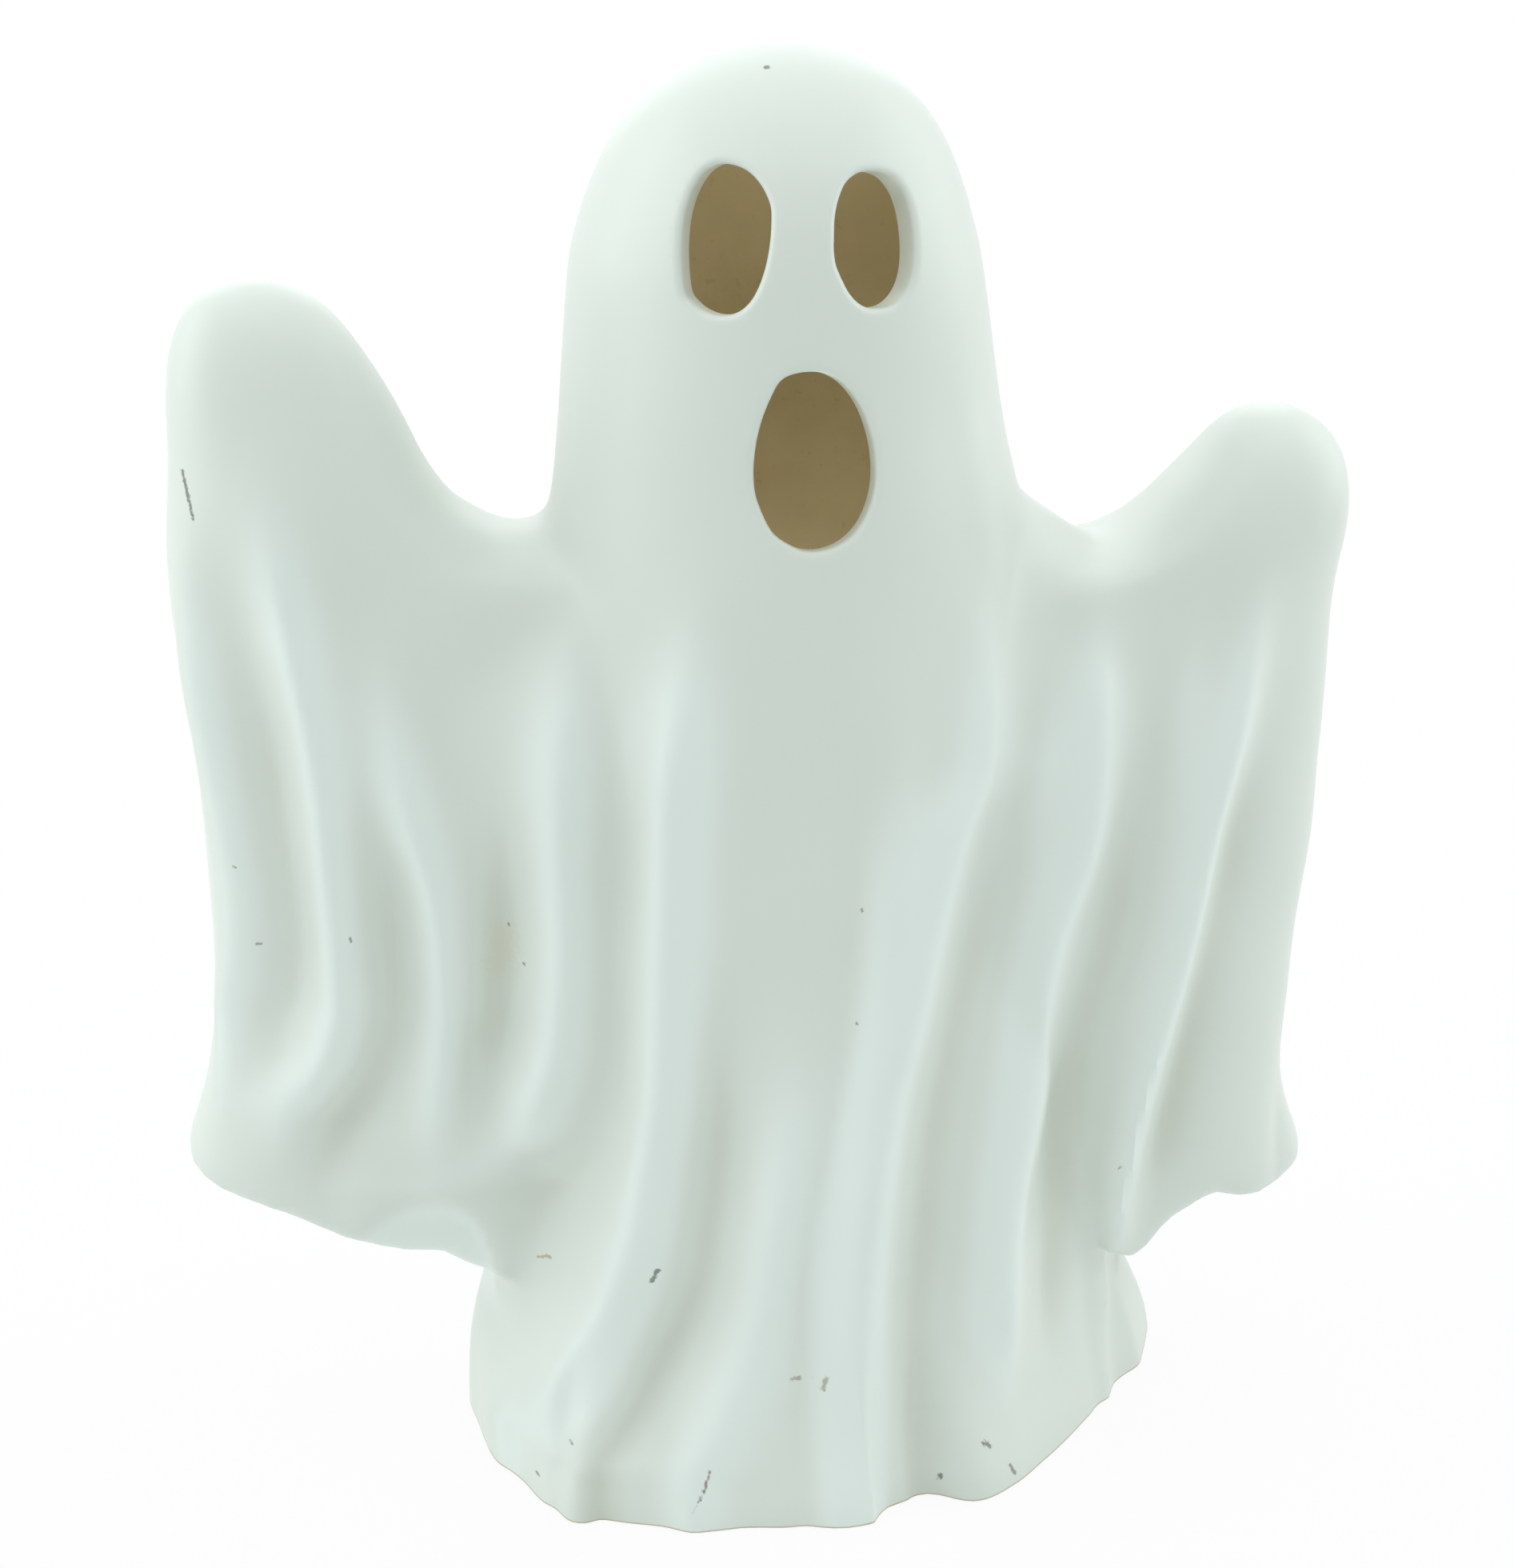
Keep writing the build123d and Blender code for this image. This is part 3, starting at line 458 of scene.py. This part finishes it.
def cutTool(name, cut, skin):  # rings of the outline that follow the skin, wide outside and narrow past the lip
    line = np.array(roundedOutline(cut["outline"]))
    after = np.roll(line, -1, 0)
    if (line[:, 0] * after[:, 1] - after[:, 0] * line[:, 1]).sum() < 0:  # all outlines run the same way round
        line = line[::-1]
    ahead = np.roll(line, -1, 0) - np.roll(line, 1, 0)
    outwards = np.stack([ahead[:, 1], -ahead[:, 0]], 1) / np.linalg.norm(ahead, axis=1)[:, None]
    turn, rise = math.radians(cut["turn"]), math.radians(cut["rise"])
    level = Vector((math.sin(turn), -math.cos(turn), 0))
    across = Vector((math.cos(turn), math.sin(turn), 0))
    out = level * math.cos(rise) + Vector((0, 0, math.sin(rise)))
    up = out.cross(across)
    middle = Vector((ghost["shifts"][-1], 0, cut["height"])) + level * ghost["depths"][-1] / 2
    radius = lip["round"]
    rings = [(lip["flare"] * radius, -lip["clear"])]
    for angle in lip["turns"]:
        rings.append((radius * (1 - math.sin(math.radians(angle))), radius * (1 - math.cos(math.radians(angle)))))
    corners = []
    for spread, depth in [(rings[0][0], None)] + rings + [(0.0, None)]:
        for (u, v), (du, dv) in zip(line, outwards):
            spot = middle + across * float(u + du * spread) + up * float(v + dv * spread)
            if depth is None:
                corner = spot + out * (lip["proud"] if spread else -lip["deep"])
            else:
                corner = skin.ray_cast((spot + out * lip["from"]) * mm, -out)[0] / mm - out * depth
            corners.append(corner * mm)
    count, levels = len(line), len(corners) // len(line)
    faces = [list(range(count)), list(range(levels * count - 1, (levels - 1) * count - 1, -1))]
    for k in range(levels - 1):
        for i in range(count):
            n = (i + 1) % count
            faces.append([k * count + n, k * count + i, (k + 1) * count + i, (k + 1) * count + n])
    mesh = bpy.data.meshes.new(name)
    mesh.from_pydata(corners, [], faces)
    tool = bpy.data.objects.new(name, mesh)
    bpy.context.collection.objects.link(tool)
    return tool


seam = {"merge": 0.02, "sliver": 0.01}  # closes a cut's seam, so that the next cut meets a whole skin


def subtract(piece, tool):
    finishWith(piece, "BOOLEAN", operation="DIFFERENCE", solver="EXACT", object=tool, material_mode="TRANSFER")
    bpy.data.objects.remove(tool)
    pick(piece)
    bpy.ops.object.mode_set(mode="EDIT")
    bpy.ops.mesh.select_all(action="SELECT")
    bpy.ops.mesh.remove_doubles(threshold=seam["merge"] * mm)
    bpy.ops.mesh.dissolve_degenerate(threshold=seam["sliver"] * mm)
    bpy.ops.object.mode_set(mode="OBJECT")


glaze = bpy.data.materials.new("whiteGlaze")
bareClay = bpy.data.materials.new("bareClay")
outer.data.materials.append(glaze)
cavity.data.materials.append(bareClay)
skin = BVHTree.FromObject(outer, bpy.context.evaluated_depsgraph_get())
subtract(outer, cavity)
for name, cut in faceCuts.items():
    tool = cutTool(name, cut, skin)
    tool.data.materials.append(glaze)
    subtract(outer, tool)


def paintFoldShading(piece):  # painted shading: an attribute that is 0 in the hollows (painted shade), 0.5 on plain skin and 1 on the ridges (painted highlight)
    places, normals = readPoints(piece.data)
    x, y, z = places.T
    folds = piece.data.attributes.new("fold", "FLOAT", "POINT")
    tone = 0.5 + drapeRelief(x, z) * facingFront(normals) / drape["shadingDepth"]
    # painted light in the recess under the left sleeve's front hem
    tone += drape["archPaintedLight"] * underArch(x, z) * ease(z, 24, 34) * ease(y, 10, 0)
    folds.data.foreach_set("value", np.clip(tone, 0, 1))


paintFoldShading(outer)
pick(outer)
bpy.ops.object.shade_smooth_by_angle(angle=math.radians(40))
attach(outer, "shell")
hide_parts("ghost_shell")
print("stage: shell cut,", len(outer.data.polygons), "faces")


class Wire:  # a socket: sums, products and powers of wires add Math nodes
    def __init__(self, tree, socket):
        self.tree, self.socket = tree, socket

    def node(self, kind, settings=None, inputs=None, out=0):
        made = self.tree.nodes.new(kind)
        for key, value in (settings or {}).items():
            setattr(made, key, value)
        for key, value in (inputs or {}).items():
            if isinstance(value, Wire):
                self.tree.links.new(value.socket, made.inputs[key])
            else:
                made.inputs[key].default_value = value
        return Wire(self.tree, made.outputs[out])

    def maths(self, operation, first, second=0.0):
        return self.node("ShaderNodeMath", {"operation": operation}, {0: first, 1: second})

    def __add__(self, other):
        return self.maths("ADD", self, other)

    __radd__ = __add__

    def __sub__(self, other):
        return self.maths("SUBTRACT", self, other)

    def __rsub__(self, other):
        return self.maths("SUBTRACT", other, self)

    def __mul__(self, other):
        return self.maths("MULTIPLY", self, other)

    __rmul__ = __mul__

    def clipped(self, low, high):  # smooth mask from low to high
        return self.node("ShaderNodeMapRange", {"interpolation_type": "SMOOTHSTEP"},
                         {0: self, 1: low, 2: high, 3: 0.0, 4: 1.0})

    def mix(self, first, second):  # this wire chooses between two colours
        return self.node("ShaderNodeMix", {"data_type": "RGBA"}, {0: self, 6: first, 7: second}, 2)


def colour(red, green, blue):  # screen colour 0..255 to the renderer's own
    def line(c):
        c = c / 255
        return c / 12.92 if c <= 0.04045 else ((c + 0.055) / 1.055) ** 2.4
    return (line(red), line(green), line(blue), 1.0)


def startMaterial(material, **constants):  # principled shader and its object coordinates
    material.use_nodes = True
    tree = material.node_tree
    tree.nodes.clear()
    shader = tree.nodes.new("ShaderNodeBsdfPrincipled")
    end = tree.nodes.new("ShaderNodeOutputMaterial")
    tree.links.new(shader.outputs[0], end.inputs[0])
    for key, value in constants.items():
        shader.inputs[key.replace("_", " ")].default_value = value
    return shader, Wire(tree, tree.nodes.new("ShaderNodeTexCoord").outputs["Object"])


def feed(shader, **wires):
    for key, wire in wires.items():
        wire.tree.links.new(wire.socket, shader.inputs[key.replace("_", " ")])


# Marks of age on the glaze: colour, width and the two ends of each, in millimetres
wear = [
    ((66, 60, 52), 0.6, (-0.3, -12.9, 278.2), (0.2, -12.9, 278.2)),
    ((52, 50, 46), 0.7, (-109.0, -11.8, 206.4), (-107.5, -15.4, 198.0)),
    ((158, 148, 128), 0.4, (-107.6, -12.4, 131.0), (-103.2, -17.3, 129.5)),
    ((124, 108, 82), 0.5, (-82.2, -23.3, 116.0), (-82.0, -23.3, 115.4)),
    ((150, 138, 112), 0.6, (-100.0, -17.3, 113.6), (-99.2, -17.5, 113.4)),
    ((128, 112, 84), 0.5, (-51.7, -22.6, 117.2), (-51.5, -22.6, 116.9)),
    ((120, 104, 78), 0.55, (-49.1, -26.4, 110.1), (-48.8, -26.4, 109.6)),
    ((130, 118, 94), 0.55, (14.4, -40.1, 123.3), (14.6, -40.1, 123.0)),
    ((140, 128, 104), 0.5, (13.3, -41.9, 100.7), (13.5, -41.9, 100.4)),
    ((126, 110, 86), 0.6, (-50.1, -38.3, 4.6), (-49.5, -38.6, 4.4)),
    ((132, 118, 92), 0.5, (-43.5, -44.1, 14.7), (-43.2, -44.1, 14.2)),
    ((52, 48, 42), 1.0, (-26.6, -42.1, 48.0), (-25.5, -42.0, 50.4)),
    ((186, 158, 116), 0.6, (-47.6, -23.7, 45.2), (-45.3, -25.8, 46.2)),
    ((120, 62, 50), 0.7, (-17.0, -54.7, 11.8), (-18.2, -54.8, 8.4)),
    ((78, 66, 58), 0.8, (-18.2, -54.8, 8.4), (-20.6, -55.1, 4.3)),
    ((164, 152, 130), 0.8, (0.1, -49.4, 28.3), (1.4, -49.0, 28.4)),
    ((150, 138, 116), 0.7, (4.0, -48.2, 28.6), (5.0, -48.6, 28.2)),
    ((168, 156, 136), 0.9, (6.6, -50.6, 28.7), (6.0, -50.4, 26.4)),
    ((84, 76, 66), 0.9, (40.4, -49.2, 9.6), (38.9, -49.4, 10.6)),
    ((62, 56, 48), 0.9, (30.2, -50.3, 4.6), (29.4, -50.3, 3.4)),
    ((110, 98, 82), 0.7, (45.8, -48.1, 2.3), (44.6, -48.3, 4.4)),
    ((150, 92, 70), 0.5, (71.6, -21.4, 55.2), (72.2, -21.2, 56.3)),
    ((222, 216, 190), 6.0, (-53.5, -22.0, 108.8), (-52.5, -22.0, 114.0)),
]
shrinkDepth = (1.0, 0.35, 1.0)  # a mark reaches further into the wall than along it


def nearMark(place, first, last, width, ragged):  # mask round the line from first to last
    start = [a * mm * k for a, k in zip(first, shrinkDepth)]
    run = [(b - a) * mm * k for a, b, k in zip(first, last, shrinkDepth)]
    flat = place.node("ShaderNodeVectorMath", {"operation": "MULTIPLY"}, {0: place, 1: shrinkDepth})
    gone = place.node("ShaderNodeVectorMath", {"operation": "SUBTRACT"}, {0: flat, 1: start})
    share = place.node("ShaderNodeVectorMath", {"operation": "DOT_PRODUCT"}, {0: gone, 1: run}, 1)
    share = share * (1 / sum(r * r for r in run))
    share = place.node("ShaderNodeClamp", None, {0: share, 1: 0.0, 2: 1.0})
    along = place.node("ShaderNodeVectorMath", {"operation": "SCALE"}, {0: run, "Scale": share})
    apart = place.node("ShaderNodeVectorMath", {"operation": "SUBTRACT"}, {0: gone, 1: along})
    reach = place.node("ShaderNodeVectorMath", {"operation": "LENGTH"}, {0: apart}, 1)
    reach = reach + ragged * (width * mm)
    return 1.0 - reach.clipped(width * mm * 0.15, width * mm * 0.7)


def noise(place, scale, detail=3.0, roughness=0.5):
    return place.node("ShaderNodeTexNoise", None, {"Vector": place, "Scale": scale, "Detail": detail,
                                                   "Roughness": roughness})


def streaky(place, stretch, detail=3.0):  # noise drawn out along the axis with the least scale
    drawn = place.node("ShaderNodeMapping", None, {"Vector": place, "Scale": stretch})
    return noise(drawn, 1.0, detail)


def roughen(place, height, strength, distance):  # a bump for the shader's Normal
    return place.node("ShaderNodeBump", None, {"Strength": strength, "Distance": distance, "Height": height})


def heightOf(place):
    return place.node("ShaderNodeSeparateXYZ", None, {0: place}, 2)


# hollow is painted shade for the folds' valleys and ridge a painted highlight for their crests; plain is the
# glaze's own colour
glazeLook = {"hollow": (220, 222, 211), "plain": (232, 236, 229), "ridge": (242, 247, 243), "cloud": 0.10,
             "pinhole": (196, 190, 172), "bareFoot": (206, 195, 170), "peel": 0.05, "swell": 0.10,
             "mark": 0.7, "stain": 0.3}
shader, place = startMaterial(glaze, Coat_Weight=0.12, Coat_Roughness=0.3)
fold = place.node("ShaderNodeAttribute", {"attribute_name": "fold"}, None, 2)
clouds = noise(place, 26.0)
fold = fold + (clouds - 0.5) * glazeLook["cloud"]
# the fold attribute mixes painted shade into the hollows and painted highlight onto the ridges
tone = fold.clipped(0.2, 0.5).mix(colour(*glazeLook["hollow"]), colour(*glazeLook["plain"]))
tone = fold.clipped(0.5, 0.85).mix(tone, colour(*glazeLook["ridge"]))
holes = place.node("ShaderNodeTexVoronoi", None, {"Vector": place, "Scale": 60.0})
rare = noise(place, 35.0, 1.0).clipped(0.56, 0.6)
pinholes = (1.0 - holes.clipped(0.012, 0.022)) * rare
tone = (pinholes * 0.7).mix(tone, colour(*glazeLook["pinhole"]))
ragged = (noise(place, 1100.0, 2.0) - 0.5) * 1.7
worn = 0.0
for paint, width, first, last in wear:
    mask = nearMark(place, first, last, width, ragged) * glazeLook["stain" if width > 3 else "mark"]
    tone = mask.mix(tone, colour(*paint))
    worn = mask + worn
foot = 1.0 - heightOf(place).clipped(0.0001, 0.0004)  # the foot is wiped bare where it stands
tone = foot.mix(tone, colour(*glazeLook["bareFoot"]))
peel = noise(place, 420.0, 2.0) * glazeLook["peel"] + noise(place, 55.0, 2.0) * glazeLook["swell"]
feed(shader, Base_Color=tone, Roughness=0.36 + noise(place, 90.0) * 0.14 + worn * 0.2 + foot * 0.3,
     Normal=roughen(place, peel - pinholes * 0.1, 0.35, 0.0012))

clayLook = {"light": (206, 191, 158), "dark": (193, 177, 143), "speck": (168, 150, 116), "grit": 0.5, "scrape": 0.4}
shader, place = startMaterial(bareClay)
grit = noise(place, 480.0, 4.0, 0.6)
streaks = streaky(place, (30.0, 30.0, 160.0))
tone = noise(place, 40.0).clipped(0.3, 0.7).mix(colour(*clayLook["dark"]), colour(*clayLook["light"]))
tone = (grit.clipped(0.62, 0.72) * 0.35).mix(tone, colour(*clayLook["speck"]))
feed(shader, Base_Color=tone, Roughness=0.78 + grit * 0.16,
     Normal=roughen(place, grit * clayLook["grit"] + streaks * clayLook["scrape"], 0.4, 0.0006))


def dress(material, *nodes):  # give CAD nodes their finish
    for node in nodes:
        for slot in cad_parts[node].material_slots:
            slot.material = material


def moulded(name, first, second, low, high, grain, **constants):  # moulded plastic: cloudy tone, fine grain
    material = bpy.data.materials.new(name)
    shader, place = startMaterial(material, **constants)
    grainHeight = noise(place, grain, 2.0)
    feed(shader, Base_Color=noise(place, 120.0).clipped(0.3, 0.7).mix(colour(*first), colour(*second)),
         Roughness=low + grainHeight * (high - low), Normal=roughen(place, grainHeight, 0.2, 0.0001))
    return material


def metal(name, first, second, low, high, stretch):  # drawn metal: streaks along one way, tarnish
    material = bpy.data.materials.new(name)
    shader, place = startMaterial(material, Metallic=1.0)
    lines = streaky(place, stretch, 4.0)
    tarnish = noise(place, 260.0, 4.0)
    feed(shader, Base_Color=tarnish.clipped(0.35, 0.7).mix(colour(*first), colour(*second)),
         Roughness=low + lines * (high - low), Normal=roughen(place, lines, 0.15, 0.00005))
    return material


dress(moulded("cupPlastic", (236, 234, 227), (242, 240, 234), 0.34, 0.5, 900.0), "candle_cup")
dress(moulded("platePlastic", (224, 223, 217), (231, 230, 224), 0.42, 0.6, 1500.0), "base_plate", "battery_cover")
dress(moulded("switchPlastic", (38, 38, 40), (48, 48, 50), 0.4, 0.6, 1800.0), "switch_slider")
dress(metal("cellSteel", (196, 197, 198), (176, 177, 178), 0.2, 0.42, (4000.0, 200.0, 200.0)), "coin_cell")
dress(metal("contactBrass", (206, 178, 112), (176, 142, 82), 0.25, 0.5, (300.0, 5000.0, 300.0)),
      "cell_contact", "switch_contact")

flameLook = {"foot": (246, 226, 178), "tip": (252, 240, 208), "low": 0.013, "high": 0.040}
flamePlastic = bpy.data.materials.new("flamePlastic")
shader, place = startMaterial(flamePlastic, Transmission_Weight=0.3, IOR=1.46)
wisps = streaky(place, (500.0, 500.0, 120.0))
climb = heightOf(place) + (wisps - 0.5) * 0.006
tone = climb.clipped(flameLook["low"], flameLook["high"]).mix(colour(*flameLook["foot"]), colour(*flameLook["tip"]))
feed(shader, Base_Color=tone, Roughness=0.26 + wisps * 0.2, Normal=roughen(place, wisps, 0.3, 0.0004))
dress(flamePlastic, "flame_lens")

lampLook = {"resin": (238, 236, 222), "legs": (188, 188, 184), "length": 0.0062, "edge": 0.0003}
lampResin = bpy.data.materials.new("lampResin")
shader, place = startMaterial(lampResin, IOR=1.5, Coat_Weight=0.3)
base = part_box("led_lamp")[1][2] - lampLook["length"]  # legs below, the moulded lamp above
resin = heightOf(place).clipped(base - lampLook["edge"], base + lampLook["edge"])
streak = noise(place, 700.0)
feed(shader, Base_Color=resin.mix(colour(*lampLook["legs"]), colour(*lampLook["resin"])), Metallic=1.0 - resin,
     Roughness=0.12 + streak * 0.22)
dress(lampResin, "led_lamp")
print("stage: materials")

# Studio: large cool lamps at both sides, behind and above, and a white floor
lampTint, lampAim = (0.93, 0.99, 1.0), (0, 0, 0.14)
studio = {
    "left": {"place": (-0.85, 0.05, 0.55), "size": 0.9, "power": 3.4},
    "right": {"place": (0.85, 0.05, 0.55), "size": 0.9, "power": 3.0},
    "back": {"place": (0.0, 0.8, 0.75), "size": 1.0, "power": 2.4},
    "top": {"place": (0.0, -0.15, 1.1), "size": 1.0, "power": 2.5},
}
for name, lamp in studio.items():
    freshStart()
    bpy.ops.object.light_add(type="AREA", location=lamp["place"])
    light = bpy.context.object
    light.name = name + "Lamp"
    light.data.size = lamp["size"]
    light.data.energy = lamp["power"]
    light.data.color = lampTint
    aim = Vector(lampAim) - light.location
    light.rotation_euler = aim.to_track_quat("-Z", "Y").to_euler()

innerTint, innerSize = (0.95, 1.0, 0.86), 0.008
inner = {  # daylight that finds its way inside
    "low": {"place": (0.004, 0.0, 0.150), "power": 0.022},
    "high": {"place": (0.004, 0.008, 0.264), "power": 0.0038},
    "middle": {"place": (0.004, -0.006, 0.228), "power": 0.0042},
}
for name, spot in inner.items():
    freshStart()
    bpy.ops.object.light_add(type="POINT", location=spot["place"])
    glow = bpy.context.object
    glow.name = name + "InnerLamp"
    glow.data.energy = spot["power"]
    glow.data.shadow_soft_size = innerSize
    glow.data.color = innerTint


def seenDirectly(tree):  # 1 for what the camera sees, also by reflection or through clear plastic
    rays = tree.nodes.new("ShaderNodeLightPath").outputs
    camera, glossy, through = (Wire(tree, rays[name]) for name in
                               ("Is Camera Ray", "Is Glossy Ray", "Is Transmission Ray"))
    return camera.maths("MAXIMUM", camera, camera.maths("MAXIMUM", glossy, through))


freshStart()
bpy.ops.mesh.primitive_plane_add(size=8, location=(0, 0, -0.0002))
floor = bpy.context.object
floor.name = "floor"
floorPaint = bpy.data.materials.new("floorPaint")
floor.data.materials.append(floorPaint)
floorPaint.use_nodes = True
tree = floorPaint.node_tree
tree.nodes.clear()
spot = Wire(tree, tree.nodes.new("ShaderNodeTexCoord").outputs["Object"])
away = spot.node("ShaderNodeVectorMath", {"operation": "LENGTH"}, {0: spot}, 1)
seen = seenDirectly(tree) * (0.9 + 0.1 * away.clipped(0.2, 0.7))  # a tenth of the shadow stays near the figure
matte = seen.node("ShaderNodeBsdfDiffuse", None, {"Color": colour(240, 242, 240)})
lit = seen.node("ShaderNodeEmission", None, {"Color": (1, 1, 1, 1), "Strength": 1.0})
mixed = seen.node("ShaderNodeMixShader", None, {0: seen, 1: matte, 2: lit})
end = tree.nodes.new("ShaderNodeOutputMaterial")
tree.links.new(mixed.socket, end.inputs[0])

world = bpy.data.worlds.new("studioAir")
bpy.context.scene.world = world
world.use_nodes = True
tree = world.node_tree
tree.nodes.clear()
seen = seenDirectly(tree)
air = seen.node("ShaderNodeBackground", None, {"Color": colour(240, 249, 247), "Strength": 0.585})
sheet = seen.node("ShaderNodeBackground", None, {"Color": (1, 1, 1, 1), "Strength": 1.0})
mixed = seen.node("ShaderNodeMixShader", None, {0: seen, 1: air, 2: sheet})
end = tree.nodes.new("ShaderNodeOutputWorld")
tree.links.new(mixed.socket, end.inputs[0])
print("stage: studio")

# Camera: 8 degrees to the figure's right hand side, 20 degrees up
view = {"turn": -8, "rise": 20, "distance": 0.680, "target": (0, 0, 0.135), "lens": 78.27}
turn, rise = math.radians(view["turn"]), math.radians(view["rise"])
back = Vector((math.sin(turn) * math.cos(rise), -math.cos(turn) * math.cos(rise), math.sin(rise)))
freshStart()
bpy.ops.object.camera_add(location=Vector(view["target"]) + back * view["distance"])
camera = bpy.context.object
camera.rotation_euler = (-back).to_track_quat("-Z", "Y").to_euler()
camera.data.lens = view["lens"]
camera.data.sensor_width = 36
camera.data.clip_start = 0.01
bpy.context.scene.camera = camera
bpy.context.scene.view_settings.view_transform = "Standard"
